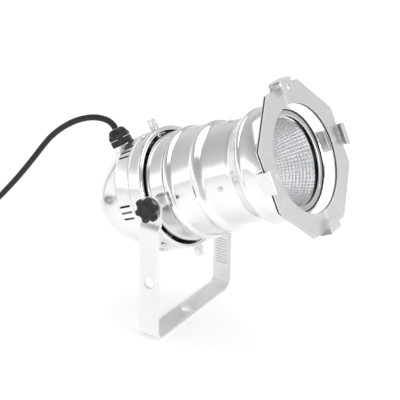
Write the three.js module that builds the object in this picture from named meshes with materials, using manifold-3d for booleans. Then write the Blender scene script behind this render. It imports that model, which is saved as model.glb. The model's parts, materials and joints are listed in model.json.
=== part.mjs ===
// Small polished-aluminium par spot on a flat yoke, millimetres, +Z up, beam towards -Y.
// The origin is the centre of the yoke's bolt hole on the underside of the strip.
import * as THREE from 'three';
import { mergeVertices } from 'three/addons/utils/BufferGeometryUtils.js';
import Module from 'manifold-3d';

const wasm = await Module();
wasm.setup();

// ---- driving dimensions ------------------------------------------------------------------
const GAP = 0.3; // air between neighbouring pieces
const FACETS = 36; // sides of the large turned shells
const TILT = THREE.MathUtils.degToRad(24.8); // nose-up angle of the beam at rest
const PIVOT_HEIGHT = 155;

const YOKE = { width: 24, thickness: 3, span: 153, bend: 9, joggle: 5, joggleTop: -18, joggleEnd: -24 };
const LEG_HOLE = { z: 69, r: 6.25 };
const BAR_HOLE_R = 6.25;
const LABEL = { width: 19, height: 46, thickness: 0.4, z: 46 };

const WALL = 1.2; // spun sheet of barrel and cap
const BARREL_R = 60;
const BARREL_REAR = -25; // rear edge of the barrel, inside the cap
const RIM_FRONT = -9; // front lip of the cap
const CAP_R = 67;
const LIP_R = 62.7; // inward lip of the cap's rim, around the barrel
const VENT = { from: -46, to: -31, width: 2.6, pitch: 6, groups: 6 };
const SCREW_STATION = -17.5; // thumb screws, along the beam axis
const BRACKET_STATION = -22.5; // screws of the lampholder bracket

const STUD_R = 3;
const STUD_HOLE_R = 3.3;
const KNOB = { r: 14, from: 73.3, to: 84, lobes: 6 };
const THUMB = { r: 5.5, from: 68.6, to: 79.4, shank: 2.5, hole: 2.8 };

const FRAME = { flats: 150.8, opening: 56.3, front: 153.2, back: 149.4, sheet: 1 };
const CLIP = { width: 23, sheet: 1, baseR: 61.4, bend: 145, outerR: 79.6, lip: 160, from: 131 };
const LIP_LENGTH = 8.5;
const TAB = { half: 10, length: 14.5 };

const LAMP = { r: 47.6, front: 134, rear: 17 };
const GLAND = { s: -67, r: 60.9, lean: THREE.MathUtils.degToRad(9), flats: 22, height: 19 };

const CORD_R = 3.5;
const COIL = { x: -38, y: 378, r: 38 };
const PLUG = { x: -122, y: 416, z: 19.5, r: 19 };

// ---- materials ---------------------------------------------------------------------------
const material = (color, roughness, metalness, opacity = 1) => new THREE.MeshStandardMaterial({
  color, roughness, metalness, opacity, transparent: opacity < 1,
});
const polished = material(0xdadcde, 0.18, 1);
const satin = material(0xc9cbcc, 0.45, 1);
const steel = material(0xb4b6b8, 0.35, 1);
const blackPlastic = material(0x16171a, 0.5, 0);
const rubber = material(0x0e0e10, 0.7, 0);
const brass = material(0xc2a25a, 0.35, 1);
const ceramic = material(0xeeeae0, 0.6, 0);
const mirror = material(0xe6e8ea, 0.08, 1);
const glass = material(0xf2f6f8, 0.05, 0, 0.3);
const paper = material(0xf4f4f2, 0.8, 0);
const earthSleeve = material(0x5c8a2c, 0.6, 0);
const blueSleeve = material(0x2a4f8f, 0.6, 0);
const brownSleeve = material(0x5a3620, 0.6, 0);

// ---- solid helpers -----------------------------------------------------------------------
const UP = new THREE.Vector3(0, Math.sin(TILT), Math.cos(TILT));
const BEAM = new THREE.Vector3(0, -Math.cos(TILT), Math.sin(TILT));
const HEAD = new THREE.Matrix4()
  .makeBasis(new THREE.Vector3(1, 0, 0), UP, BEAM)
  .setPosition(0, 0, PIVOT_HEIGHT);
const AXES = {
  x: new THREE.Matrix4().makeRotationY(Math.PI / 2),
  y: new THREE.Matrix4().makeRotationX(-Math.PI / 2),
  z: new THREE.Matrix4(),
};

function toSolid(geometry) {
  const plain = geometry.clone();
  plain.deleteAttribute('normal');
  plain.deleteAttribute('uv');
  const welded = mergeVertices(plain, 1e-4);
  const vertProperties = new Float32Array(welded.attributes.position.array);
  const triVerts = new Uint32Array(welded.index.array);
  const build = (tris) => new wasm.Manifold(new wasm.Mesh({ numProp: 3, vertProperties, triVerts: tris }));
  const solid = build(triVerts);
  if (solid.volume() > 0) return solid;
  for (let i = 0; i < triVerts.length; i += 3) {
    const keep = triVerts[i + 1];
    triVerts[i + 1] = triVerts[i + 2];
    triVerts[i + 2] = keep;
  }
  return build(triVerts);
}

// Turned shape about +Z from [radius, z] points that close on the axis or on themselves.
function turned(points, segments = 48) {
  const profile = points.map(([r, z]) => new THREE.Vector2(Math.max(r, 0), z));
  return toSolid(new THREE.LatheGeometry(profile, segments).rotateX(Math.PI / 2));
}

// Tube wall or solid rod about +Z.
function ring(inner, outer, z0, z1, segments = 24) {
  if (inner <= 0) return turned([[0, z0], [outer, z0], [outer, z1], [0, z1]], segments);
  return turned([[inner, z0], [outer, z0], [outer, z1], [inner, z1], [inner, z0]], segments);
}

// Extruded outline along +Z between two heights.
function extruded(points, z0, z1, hole = null) {
  const shape = new THREE.Shape(points.map(([x, y]) => new THREE.Vector2(x, y)));
  if (hole) shape.holes.push(new THREE.Path(hole.map(([x, y]) => new THREE.Vector2(x, y))));
  const geometry = new THREE.ExtrudeGeometry(shape, { depth: z1 - z0, bevelEnabled: false });
  return toSolid(geometry.translate(0, 0, z0));
}

function box(x0, x1, y0, y1, z0, z1) {
  return extruded([[x0, y0], [x1, y0], [x1, y1], [x0, y1]], z0, z1);
}

function circle(r, count, cx = 0, cy = 0, phase = 0) {
  return Array.from({ length: count }, (_, i) => {
    const a = phase + (2 * Math.PI * i) / count;
    return [cx + r * Math.cos(a), cy + r * Math.sin(a)];
  });
}

// Regular polygon with the given distance across flats.
const cornerRadius = (flats, sides) => flats / 2 / Math.cos(Math.PI / sides);
const polygon = (flats, sides) => circle(cornerRadius(flats, sides), sides, 0, 0, Math.PI / sides);

function moved(solid, matrix) {
  return solid.transform(matrix.elements);
}

const along = (axis, solid) => moved(solid, AXES[axis]);
const shift = (x, y, z) => new THREE.Matrix4().makeTranslation(x, y, z);
const spin = (angle) => new THREE.Matrix4().makeRotationZ(angle);

// Puts a piece built along +Z on the head so that it points radially outwards.
// Angle 0 is the head's top, 90 its near side (-X); z of the piece becomes the radius.
function radial(solid, station, degrees) {
  const matrix = shift(0, 0, station)
    .multiply(spin(THREE.MathUtils.degToRad(degrees)))
    .multiply(AXES.y);
  return moved(solid, matrix);
}

// Tube of round section along a smooth curve.
function tube(points, radius, steps, sides = 8) {
  const stops = points.map((p) => new THREE.Vector3(...p));
  const curve = new THREE.CatmullRomCurve3(stops, false, 'centripetal');
  const section = new THREE.Shape(circle(radius, sides).map(([x, y]) => new THREE.Vector2(x, y)));
  return toSolid(new THREE.ExtrudeGeometry(section, { steps, extrudePath: curve, bevelEnabled: false }));
}

const group = new THREE.Group();

function add(name, solid, look, matrix = null) {
  const placed = matrix ? moved(solid, matrix) : solid;
  const mesh = placed.getMesh();
  const geometry = new THREE.BufferGeometry();
  geometry.setAttribute('position', new THREE.BufferAttribute(new Float32Array(mesh.vertProperties), 3));
  geometry.setIndex(new THREE.BufferAttribute(new Uint32Array(mesh.triVerts), 1));
  geometry.computeVertexNormals();
  const node = new THREE.Mesh(geometry, look);
  node.name = name;
  group.add(node);
}

const onHead = (name, solid, look) => add(name, solid, look, HEAD);

// ---- yoke --------------------------------------------------------------------------------
// Half of the strip's outer line, from the middle of the bar up the +X leg; x, z pairs.
function yokeHalf(offset) {
  const out = YOKE.span / 2 - offset;
  const radius = YOKE.bend + YOKE.thickness - offset;
  const line = [];
  const steps = 6;
  for (let i = 0; i <= steps; i += 1) {
    const a = (Math.PI / 2) * (i / steps);
    line.push([out - radius + radius * Math.sin(a), offset + radius - radius * Math.cos(a)]);
  }
  line.push([out, PIVOT_HEIGHT + YOKE.joggleEnd]);
  line.push([out - YOKE.joggle, PIVOT_HEIGHT + YOKE.joggleTop]);
  line.push([out - YOKE.joggle, PIVOT_HEIGHT + YOKE.width / 2]);
  return line;
}
const mirrored = (line) => line.map(([x, z]) => [-x, z]).reverse();
const yokeOutline = [
  ...mirrored(yokeHalf(0)),
  ...yokeHalf(0),
  ...yokeHalf(YOKE.thickness).reverse(),
  ...mirrored(yokeHalf(YOKE.thickness)).reverse(),
];
const halfStrip = YOKE.width / 2;
const upright = new THREE.Matrix4().makeRotationX(Math.PI / 2);
const strip = moved(extruded(yokeOutline, -halfStrip, halfStrip), upright);
const legFace = YOKE.span / 2 - YOKE.thickness - YOKE.joggle; // inner face beside the pivot
const roundTop = along('x', ring(0, halfStrip, legFace - 2, YOKE.span / 2 + 2, 48)
  .add(box(0, halfStrip + 20, -halfStrip, halfStrip, legFace - 2, YOKE.span / 2 + 2)));
const topBlock = box(legFace - 1, YOKE.span / 2 + 1, -halfStrip - 1, halfStrip + 1, 0, halfStrip + 1);
const topWaste = moved(topBlock.subtract(roundTop), shift(0, 0, PIVOT_HEIGHT));
const turnAbout = new THREE.Matrix4().makeRotationZ(Math.PI);
const pivotHoles = moved(along('x', ring(0, STUD_HOLE_R, -90, 90)), shift(0, 0, PIVOT_HEIGHT));
const legHole = moved(along('x', ring(0, LEG_HOLE.r, -90, 0, 32)), shift(0, 0, LEG_HOLE.z));
const yoke = strip
  .subtract(topWaste)
  .subtract(moved(topWaste, turnAbout))
  .subtract(pivotHoles)
  .subtract(legHole)
  .subtract(ring(0, BAR_HOLE_R, -5, 10, 32));
add('yoke', yoke, satin);

const labelFace = YOKE.span / 2 - YOKE.thickness - GAP;
const label = box(labelFace - LABEL.thickness, labelFace, -LABEL.width / 2, LABEL.width / 2,
  LABEL.z - LABEL.height / 2, LABEL.z + LABEL.height / 2);
add('rating_label', label, paper);

// ---- barrel ------------------------------------------------------------------------------
// Outer line of the spun barrel, [radius, station] from the rear edge to the front lip.
const barrelLine = [
  [BARREL_R, BARREL_REAR], [BARREL_R, 14], [61.2, 16.5], [61.8, 19.4], [61.2, 22.3], [59.3, 25],
  [59.3, 51], [59.9, 53], [59.9, 56], [58.6, 59], [55.6, 61.5],
  [55.2, 94], [54.7, 96.5], [55.6, 99], [58.4, 104], [60.3, 109], [61.5, 111],
  [61.5, 113], [60.6, 114.5], [60.6, 127], [59.8, 131.5], [57.8, 135.5], [55.2, 138.6], [53.8, 139.6],
];
const innerLine = (line) => line.map(([r, s], i) => {
  const [r0, s0] = line[Math.max(i - 1, 0)];
  const [r1, s1] = line[Math.min(i + 1, line.length - 1)];
  const length = Math.hypot(r1 - r0, s1 - s0);
  return [r - (WALL * (s1 - s0)) / length, s + (WALL * (r1 - r0)) / length];
});
const shell = (line) => turned([...line, ...innerLine(line).reverse(), line[0]], FACETS);
const notchHalf = 3.2;
const notch = box(-notchHalf, notchHalf, 50, 70, BARREL_REAR - 2, SCREW_STATION)
  .add(radial(ring(0, notchHalf, 50, 70), SCREW_STATION, 0));
const sideHoles = along('x', ring(0, STUD_HOLE_R, -70, 70));
const RIVET = { station: 80, r: 1.6, wallR: 55.3 };
const QUARTERS = [0, 90, 180, 270];
let barrel = shell(barrelLine)
  .subtract(notch)
  .subtract(moved(notch, spin(Math.PI)))
  .subtract(sideHoles);
for (const angle of QUARTERS) {
  barrel = barrel.subtract(radial(ring(0, RIVET.r + GAP, 50, 60, 12), RIVET.station, angle));
}
onHead('barrel', barrel, polished);

// Guide ring that keeps the lamp's bowl central; four rivets hold it inside the barrel.
const GUIDE = { outer: 53.4, inner: 52.4, from: 73, to: 87 };
let guide = ring(GUIDE.inner, GUIDE.outer, GUIDE.from, GUIDE.to, FACETS);
for (const angle of QUARTERS) {
  guide = guide.subtract(radial(ring(0, RIVET.r + GAP, 50, 60, 12), RIVET.station, angle));
  const rivet = turned([[0, 51], [2.6, 51], [2.6, 51.9], [RIVET.r, 51.9], [RIVET.r, 55.6],
    [3, 55.6], [2.6, 56.5], [1.4, 57], [0, 57.1]], 10);
  onHead(`barrel_rivet_${angle}`, radial(rivet, RIVET.station, angle), steel);
}
onHead('lamp_guide_ring', guide, satin);

// Flat ring behind the front lip that the lamp's rim rests against.
const frontRing = turned([[46.6, 136], [52.2, 136], [52.2, 137.2], [48.2, 137.2], [47.4, 138],
  [46.6, 137.2], [46.6, 136]], FACETS);
onHead('lamp_retaining_ring', frontRing, satin);

// ---- frame clips -------------------------------------------------------------------------
const clipStrip = (points, half) => moved(extruded(points, -half, half), new THREE.Matrix4().makeBasis(
  new THREE.Vector3(0, 0, 1), new THREE.Vector3(0, 1, 0), new THREE.Vector3(-1, 0, 0)));
const back = CLIP.bend;
const base = CLIP.baseR;
const crown = CLIP.outerR;
const t = CLIP.sheet;
// Channel of sheet: foot on the collar, back wall, outer wall and front lip; [station, radius].
const channel = (lip) => [
  [CLIP.from, base + GAP], [back, base + GAP], [back, crown], [CLIP.lip - t, crown],
  [CLIP.lip - t, crown - lip], [CLIP.lip, crown - lip], [CLIP.lip, crown + t],
  [back - t, crown + t], [back - t, base + GAP + t], [CLIP.from, base + GAP + t],
];
for (const [name, angle] of [['near', 90], ['far', 270]]) {
  const clip = clipStrip(channel(LIP_LENGTH), CLIP.width / 2);
  onHead(`frame_clip_${name}`, moved(clip, spin(THREE.MathUtils.degToRad(angle))), satin);
}
// Tab with a round end, flat across the beam; hangs inwards from the given radius.
const tabOutline = (top, tip, half) => {
  const arc = [];
  for (let i = 0; i <= 12; i += 1) {
    const a = Math.PI * (i / 12);
    arc.push([half * Math.cos(a), tip + half - half * Math.sin(a)]);
  }
  return [[half, top], ...arc, [-half, top]];
};
const bottomBody = clipStrip(channel(t), TAB.half);
const bottomTab = extruded(tabOutline(crown + t / 2, crown - TAB.length, TAB.half), CLIP.lip - t, CLIP.lip);
onHead('frame_clip_bottom', moved(bottomBody.add(bottomTab), spin(Math.PI)), satin);

// The top clip is a latch: its back wall ends in a knuckle and the flap swings up on a pin.
const PIN = { station: 146.5, radius: 80.6, r: 1 };
const topBase = clipStrip([
  [CLIP.from, base + GAP], [back, base + GAP], [back, crown - 2.6], [back - t, crown - 2.6],
  [back - t, base + GAP + t], [CLIP.from, base + GAP + t],
], TAB.half);
const knuckleAt = (x0, x1, inner, outer) => moved(along('x', ring(inner, outer, x0, x1, 16)),
  shift(0, PIN.radius, PIN.station));
const knuckle = knuckleAt(-5, 5, 0, 2.6)
  .add(box(-5, 5, crown - 4, PIN.radius, back - t, back))
  .add(knuckleAt(-TAB.half, TAB.half, 0, PIN.r));
onHead('latch_base', topBase.add(knuckle), satin);
const flapTop = PIN.radius + 2.6;
const flapPlate = box(-TAB.half, TAB.half, flapTop - t, flapTop, PIN.station, CLIP.lip);
const flapOutline = tabOutline(flapTop - t / 2, crown - TAB.length + 1, TAB.half);
const flapTab = extruded(flapOutline, CLIP.lip - t, CLIP.lip);
const flapKnuckles = knuckleAt(-TAB.half, TAB.half, 0, 2.6).subtract(knuckleAt(-5 - GAP, 5 + GAP, 0, 6));
const flap = flapPlate
  .add(flapTab)
  .add(flapKnuckles)
  .subtract(knuckleAt(-5 - GAP, 5 + GAP, 0, 2.6 + GAP))
  .subtract(knuckleAt(-20, 20, 0, PIN.r + GAP / 2))
  .subtract(moved(ring(0, 1.5 + GAP, CLIP.lip - 3, CLIP.lip + 3, 12), shift(0, crown - 5.5, 0)));
onHead('latch_flap', flap, satin);
const stopRivet = turned([[0, -2.2], [2.4, -2.2], [2.4, -1.3], [1.5, -1.3], [1.5, 0.3], [3, 0.3],
  [2.4, 1.3], [1.2, 1.7], [0, 1.8]], 10);
onHead('latch_rivet', moved(stopRivet, shift(0, crown - 5.5, CLIP.lip)), steel);

// ---- gel frame: two octagonal plates with a slot for the gel between them -----------------
const octagon = polygon(FRAME.flats, 8);
const opening = circle(FRAME.opening, 60).reverse();
onHead('gel_frame_front', extruded(octagon, FRAME.front - FRAME.sheet, FRAME.front, opening), satin);
const slotFrom = FRAME.back + FRAME.sheet;
const hemFront = FRAME.front - FRAME.sheet - GAP;
const hem = box(-26, 26, FRAME.flats / 2 - FRAME.sheet, FRAME.flats / 2, FRAME.back, hemFront);
// Corner tab, folded backwards, that is gripped to pull the frame out.
const cornerR = FRAME.flats / 2 / Math.cos(Math.PI / 8);
const corner = extruded([[-7, 0], [7, 0], [1.5, 9], [-1.5, 9]], -FRAME.sheet / 2, FRAME.sheet / 2);
const fold = new THREE.Matrix4().makeRotationX(THREE.MathUtils.degToRad(-50));
const cornerTab = moved(moved(corner, fold), shift(0, cornerR - 2, FRAME.back + 0.6));
const backPlate = extruded(octagon, FRAME.back, slotFrom, opening)
  .add(moved(hem, spin(-Math.PI / 4)))
  .add(moved(hem, spin((3 * Math.PI) / 4)))
  .add(moved(cornerTab, spin(Math.PI - Math.PI / 8)));
onHead('gel_frame_back', backPlate, satin);

// ---- rear cap ----------------------------------------------------------------------------
// Outer line of the spun cap, [radius, station] from the crown of the dome to the rolled rim.
const capLine = [
  [0, -119], [9.4, -118.4], [18.4, -115.2], [26.4, -109.6], [33, -103.4], [38.6, -97], [43.4, -90.6],
  [47.8, -84.2], [51.6, -77.8], [55, -71], [58, -64.5], [61, -57.6], [64.5, -48.6], [64.4, -48],
  [65, -47.4], [66.3, -38], [CAP_R - 0.1, -27.6], [CAP_R - 0.5, -27], [CAP_R, -26.4],
  [CAP_R, RIM_FRONT - 4], [CAP_R + 0.6, RIM_FRONT - 2.6], [CAP_R + 0.6, RIM_FRONT - 1],
  [CAP_R - 0.4, RIM_FRONT], [LIP_R, RIM_FRONT - 0.2], [LIP_R, RIM_FRONT - 1.4], [CAP_R - 1.6, RIM_FRONT - 1.7],
];
const capInside = innerLine(capLine.slice(1, -5)).filter(([r]) => r > 8);
const capProfile = [...capLine, ...capInside.reverse(), [0, -119 + WALL]];
const capDrills = [];
for (let g = 0; g < VENT.groups; g += 1) {
  const centre = 30 + (360 / VENT.groups) * g;
  for (const k of [-1, 0, 1]) {
    const slot = box(-VENT.width / 2, VENT.width / 2, 55, 75, VENT.from, VENT.to);
    capDrills.push(moved(slot, spin(THREE.MathUtils.degToRad(centre + VENT.pitch * k))));
  }
}
const BRACKET_ANGLES = [15, 135, 255];
for (const angle of BRACKET_ANGLES) {
  capDrills.push(radial(ring(0, 2 + GAP, 55, 75, 12), BRACKET_STATION, angle));
}
for (const angle of [0, 180]) {
  capDrills.push(radial(ring(0, THUMB.hole, 55, 75, 16), SCREW_STATION, angle));
}
// Frame of the cable gland: z along the gland, its seat face at z = 0.
const glandPlace = shift(0, GLAND.r, GLAND.s)
  .multiply(new THREE.Matrix4().makeRotationX(-Math.PI / 2 - GLAND.lean));
capDrills.push(moved(ring(0, 8.3, -20, 10, 32), glandPlace));
const cap = capDrills.reduce((body, tool) => body.subtract(tool), turned(capProfile, FACETS));
onHead('rear_cap', cap, polished);

// ---- thumb screws, standoffs and nuts that hold cap to barrel ------------------------------
const knurl = Array.from({ length: 36 }, (_, i) => {
  const a = (2 * Math.PI * i) / 36;
  const r = i % 2 ? THUMB.r - 0.45 : THUMB.r;
  return [r * Math.cos(a), r * Math.sin(a)];
});
const thumbScrew = extruded(knurl, THUMB.from + 1.2, THUMB.to)
  .add(ring(0, THUMB.r - 1, THUMB.from, THUMB.from + 1.4, 24))
  .add(ring(0, THUMB.shank, 51.5, THUMB.from + 0.2, 16))
  .subtract(ring(0, 1.6, THUMB.to - 1, THUMB.to + 1, 16));
for (const [name, angle] of [['top', 0], ['bottom', 180]]) {
  onHead(`thumb_screw_${name}`, radial(thumbScrew, SCREW_STATION, angle), polished);
  onHead(`thumb_washer_${name}`,
    radial(ring(THUMB.hole, 4.9, CAP_R + GAP, THUMB.from - GAP), SCREW_STATION, angle), steel);
  onHead(`cap_standoff_${name}`,
    radial(ring(THUMB.hole, 4.6, BARREL_R + GAP, CAP_R - WALL - 0.5), SCREW_STATION, angle), satin);
  const nut = extruded(polygon(9.6, 4), 54, 58.1, circle(THUMB.hole, 16).reverse());
  onHead(`cap_nut_${name}`, radial(nut, SCREW_STATION, angle), steel);
}

// ---- pivots: stud, spacer, washer and star knob on each side -------------------------------
const starPoint = (i, count) => {
  const a = (2 * Math.PI * i) / count;
  const r = KNOB.r - 1.5 + 1.5 * Math.cos(KNOB.lobes * a);
  return [r * Math.cos(a), r * Math.sin(a)];
};
const star = Array.from({ length: 48 }, (_, i) => starPoint(i, 48));
const knob = extruded(star, KNOB.from + 2.4, KNOB.to - 1.2)
  .add(turned([[0, KNOB.from], [7, KNOB.from], [9.5, KNOB.from + 2.8], [9.5, KNOB.to - 1.6],
    [8.6, KNOB.to], [0, KNOB.to]], 36))
  .subtract(ring(0, STUD_R + GAP, KNOB.from - 1, KNOB.to - 2.4, 24));
const studEnd = KNOB.to - 3.4;
const stud = turned([[0, 55], [6, 55], [6, 58], [STUD_R, 58], [STUD_R, studEnd], [0, studEnd]], 24);
const saddle = ring(0, BARREL_R + GAP, -10, 10, FACETS);
const spacer = along('x', ring(STUD_HOLE_R, 7.5, 55, legFace - GAP, 24)).subtract(saddle);
const washer = ring(STUD_HOLE_R, 8, legFace + YOKE.thickness + GAP, KNOB.from - GAP, 24);
for (const [name, turn] of [['near', Math.PI], ['far', 0]]) {
  const side = new THREE.Matrix4().makeRotationZ(turn);
  onHead(`pivot_stud_${name}`, moved(along('x', stud), side), steel);
  onHead(`pivot_spacer_${name}`, moved(spacer, side), satin);
  onHead(`knob_washer_${name}`, moved(along('x', washer), side), steel);
  onHead(`star_knob_${name}`, moved(along('x', knob), side), blackPlastic);
}

// ---- cable gland -------------------------------------------------------------------------
const hexagon = polygon(GLAND.flats, 6);
const onGland = (name, solid, look) => onHead(name, moved(solid, glandPlace), look);
const domeOutside = capLine.slice(0, 16).map(([r, s]) => [r ? r + GAP : 0, s - GAP]);
const domeBody = turned([...domeOutside, [0, -38]], FACETS);
const seatCone = turned([[8.3, -10], [15, -10], [12.5, -GAP], [8.3, -GAP], [8.3, -10]], 32);
const seatRaw = moved(seatCone, glandPlace);
onHead('gland_seat', seatRaw.subtract(domeBody), satin);
const glandBody = extruded(hexagon, 0, 7).add(ring(0, 7.9, -16, 0.5, 32)).subtract(ring(0, 4.4, -20, 20));
onGland('gland_body', glandBody, blackPlastic);
const nutHollow = turned([[0, 0], [7, 0], [7, 14], [4.1, 17], [4.1, 30], [0, 30]], 24);
const glandNut = extruded(hexagon, 7 + GAP, 12.5)
  .add(turned([[0, 12], [10.6, 12], [10.3, 15], [8.6, 17.8], [6.4, GLAND.height], [0, GLAND.height]], 32))
  .subtract(nutHollow);
onGland('gland_nut', glandNut, blackPlastic);
onGland('gland_locknut', extruded(polygon(20, 6), -15.2, -11, circle(8.1, 24).reverse()), blackPlastic);
onGland('cable_in_gland', ring(0, CORD_R, -20, GLAND.height - 0.1, 16), rubber);

// ---- lampholder, bracket and wiring --------------------------------------------------------
const HOLDER = { r: 21, from: -14, to: 44, bore: 14.6, floor: 14 };
const holder = turned([[0, HOLDER.from], [HOLDER.r - 4, HOLDER.from], [HOLDER.r, HOLDER.from + 10],
  [HOLDER.r, HOLDER.to], [HOLDER.bore, HOLDER.to], [HOLDER.bore, HOLDER.floor], [0, HOLDER.floor]], 40);
onHead('lampholder_body', holder, ceramic);
onHead('lampholder_shell', ring(13.7, 14.3, HOLDER.floor + GAP, HOLDER.to - 4, 40), brass);
const PLATE = { back: -28, front: -26 };
let bracket = ring(4, 19, PLATE.back, PLATE.front, 40).add(ring(4, 6.5, PLATE.back, HOLDER.from - GAP, 24));
for (const angle of BRACKET_ANGLES) {
  const foot = box(-6, 6, 62.2, 64, PLATE.back, BRACKET_STATION + 5);
  const arm = box(-6, 6, 15, 64, PLATE.back, PLATE.front);
  const leg = arm.add(foot).subtract(radial(ring(0, 1.9 + GAP, 55, 75, 12), BRACKET_STATION, 0));
  bracket = bracket.add(moved(leg, spin(THREE.MathUtils.degToRad(angle))));
  const screw = turned([[0, 61], [1.9, 61], [1.9, CAP_R + GAP], [3.6, CAP_R + GAP], [3, CAP_R + 1.6],
    [1.6, CAP_R + 2.1], [0, CAP_R + 2.2]], 10);
  onHead(`bracket_screw_${angle}`, radial(screw, BRACKET_STATION, angle), steel);
}
onHead('lampholder_bracket', bracket, steel);
onHead('terminal_block', box(-9, 9, -18, -9, PLATE.back - 14, PLATE.back - GAP), ceramic);
const inlet = new THREE.Vector3(0, 0, -20.4).applyMatrix4(glandPlace);
const wires = [
  ['wire_live', -4.6, brownSleeve], ['wire_neutral', 0, blueSleeve], ['wire_earth', 4.6, earthSleeve],
];
for (const [name, x, look] of wires) {
  const route = [
    [x * 0.54, inlet.y - 0.6, inlet.z], [x * 0.7, inlet.y - 12, inlet.z + 2], [x, 12, -62], [x, -5, -60],
    [x, -13.5, -52], [x, -13.5, PLATE.back - 14 - GAP],
  ];
  onHead(name, tube(route, 1.1, 10, 8), look);
}

// ---- lamp --------------------------------------------------------------------------------
const bowlOuter = [
  [16, 46], [17.5, 54], [22, 64], [29, 76], [36, 90], [42, 104], [46, 118], [LAMP.r, 124], [LAMP.r, 131.6],
];
const bowlInner = [
  [45.8, 131.6], [45.6, 124], [43.6, 118], [39.6, 104], [33.6, 90], [26.6, 77], [19, 67], [12, 63], [0, 62],
];
onHead('lamp_reflector', turned([[0, 46], ...bowlOuter, ...bowlInner], FACETS), mirror);
const lens = turned([[0, 133.2], [30, 132.6], [45, 131.9], [LAMP.r, 131.9], [LAMP.r, 133.4],
  [45, LAMP.front], [30, 134.6], [0, 135.2]], FACETS);
onHead('lamp_lens', lens, glass);
onHead('lamp_capsule', turned([[0, 63], [4, 63], [5.5, 66], [5.5, 84], [4, 88], [0, 90]], 20), glass);
onHead('lamp_base', turned([[0, 25], [9, 25], [13.3, 28], [13.3, 42.5], [15, 45.7], [0, 45.7]], 40), brass);
const insulator = turned([[0, LAMP.rear], [3.4, LAMP.rear], [4, 19.4], [8.6, 24.7], [0, 24.7]], 24);
onHead('lamp_insulator', insulator, blackPlastic);

// ---- supply cord: plain stand-in tube, coil and plug ---------------------------------------
const exit = new THREE.Vector3(0, 0, GLAND.height + GAP).applyMatrix4(glandPlace).applyMatrix4(HEAD);
const lead = UP.clone().multiplyScalar(Math.cos(GLAND.lean)).addScaledVector(BEAM, -Math.sin(GLAND.lean));
const cordRoute = [
  exit.toArray(), exit.clone().addScaledVector(lead, 4).toArray(),
  [0, 106.5, 205.4], [0, 117, 206.2], [0, 129, 204.4], [0, 141, 200.4], [0, 153, 194.8],
  [0, 165, 187.4], [0, 177, 178.4], [0, 189, 167.4], [0, 200, 154.8], [0, 211, 141], [0, 224, 125],
  [0, 240, 106], [0, 258, 86], [0, 278, 65], [0, 299, 45], [0, 318, 29], [0, 335, 16.5], [0, 350, 8],
  [0, 363, 4.4], [0, COIL.y - 4, CORD_R], [0, COIL.y + 1 - GAP, CORD_R],
];
add('cord', tube(cordRoute, CORD_R, 40), rubber);
// Two full layers of turns and a half turn on top, from which the tail leaves.
const coilInner = COIL.r - CORD_R - GAP;
const coilOuter = COIL.r + CORD_R - GAP;
const topTurn = ring(coilInner, coilOuter, 4 * CORD_R - 1, 6 * CORD_R + GAP, 48)
  .subtract(box(-70, -1, -70, 70, 0, 30));
const coil = ring(coilInner, coilOuter, 0, 4 * CORD_R, 48)
  .add(topTurn)
  .subtract(box(coilInner - 0.4, 50, -70, 1, -1, 2 * CORD_R + GAP))
  .subtract(box(coilInner - 0.4, 50, -70, -2 * CORD_R, -1, 30));
add('cord_coil', moved(coil, shift(COIL.x, COIL.y, 0)), rubber);
const plugEnd = PLUG.x + 15;
const tailZ = 5 * CORD_R + GAP;
const tailRoute = [
  [COIL.x - 1 - GAP, PLUG.y, tailZ], [COIL.x - 12, PLUG.y, tailZ], [COIL.x - 30, PLUG.y, tailZ],
  [COIL.x - 48, PLUG.y, tailZ + 0.4], [plugEnd + 10, PLUG.y, PLUG.z - 0.4], [plugEnd + GAP, PLUG.y, PLUG.z],
];
add('cord_tail', tube(tailRoute, CORD_R, 10), rubber);
const plugPlace = shift(plugEnd, PLUG.y, PLUG.z).multiply(new THREE.Matrix4().makeRotationY(-Math.PI / 2));
const plugBody = turned([[0, 0], [5, 0], [6.5, 14], [10, 20], [PLUG.r, 32], [PLUG.r, 50],
  [15, 52], [0, 52]], 32);
add('plug_body', plugBody, rubber, plugPlace);
for (const [name, x] of [['plug_pin_a', -9.5], ['plug_pin_b', 9.5]]) {
  const pin = moved(turned([[0, 52.3], [2.4, 52.3], [2.4, 69], [1.2, 71], [0, 71]], 16), shift(0, x, 0));
  add(name, pin, brass, plugPlace);
}

export default group;
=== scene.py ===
import json
import math
import random

import bmesh
import bpy
from mathutils import Matrix, Vector


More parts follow.
